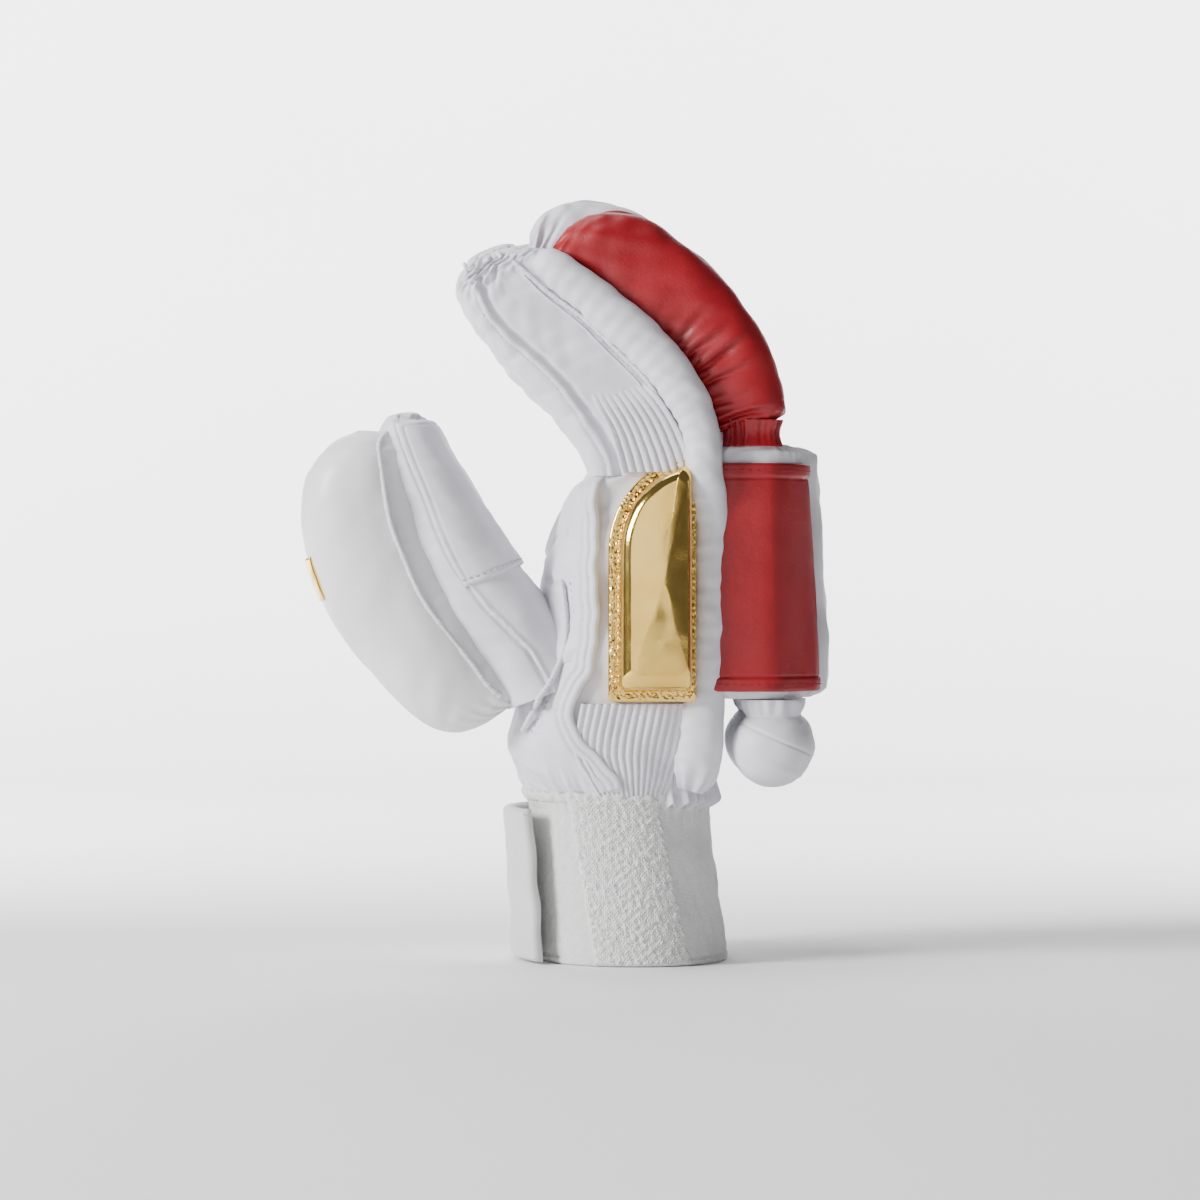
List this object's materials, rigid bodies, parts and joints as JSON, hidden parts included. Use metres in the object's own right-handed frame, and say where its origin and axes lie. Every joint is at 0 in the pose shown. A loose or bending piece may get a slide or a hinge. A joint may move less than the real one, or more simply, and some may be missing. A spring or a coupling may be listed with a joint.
{
  "type": "cricket batting glove",
  "caption": "Right-hand cricket batting glove with curled fingers, padded finger and back-of-hand rolls, thumb protector, side plate and elastic cuff.",
  "frame": {"origin": "centre of the wrist opening, on the plane that the cuff stands on", "axes": "+Z from the wrist to the fingers, +X towards the back of the hand, -Y towards the thumb side"},
  "size_m": [0.1794, 0.112, 0.2615],
  "materials": {
    "white_leather": "smooth, soft sheen",
    "red_leather": "smooth, satin sheen",
    "gold_foil": "mirror gold foil on a moulded plate",
    "white_knit": "ribbed elastic knit",
    "cuff_cloth": "smooth elastic cloth",
    "terry": "looped terry towelling"
  },
  "bodies": {
    "root": {"cuff_band": "cuff_cloth", "cuff_terry_panel": "terry", "wrist_strap": "white_leather", "palm_shell": "white_leather", "thumb_tube": "white_leather", "thumb_patch": "white_leather", "thumb_protector": "white_leather", "finger_index": "white_leather", "finger_middle": "white_leather", "finger_ring": "white_leather", "finger_little": "white_leather", "upper_roll_index": "red_leather", "upper_roll_middle": "white_leather", "upper_roll_ring": "white_leather", "upper_roll_little": "white_leather", "back_roll_index": "white_leather", "back_roll_wrap": "red_leather", "back_roll_middle": "white_leather", "back_roll_ring": "white_leather", "back_roll_little": "white_leather", "end_ball_index": "white_leather", "end_ball_middle": "white_leather", "end_ball_ring": "white_leather", "end_ball_little": "white_leather", "knuckle_flap_index": "red_leather", "knuckle_flap_middle": "white_leather", "knuckle_flap_ring": "white_leather", "knuckle_flap_little": "white_leather", "side_bar_index": "white_leather", "side_bar_little": "white_leather", "gold_plate": "gold_foil", "rib_gusset_wrist": "white_knit", "rib_gusset_finger": "white_knit", "rib_gusset_little": "white_knit", "wrist_ruffle": "white_leather"}
  },
  "joints": []
}
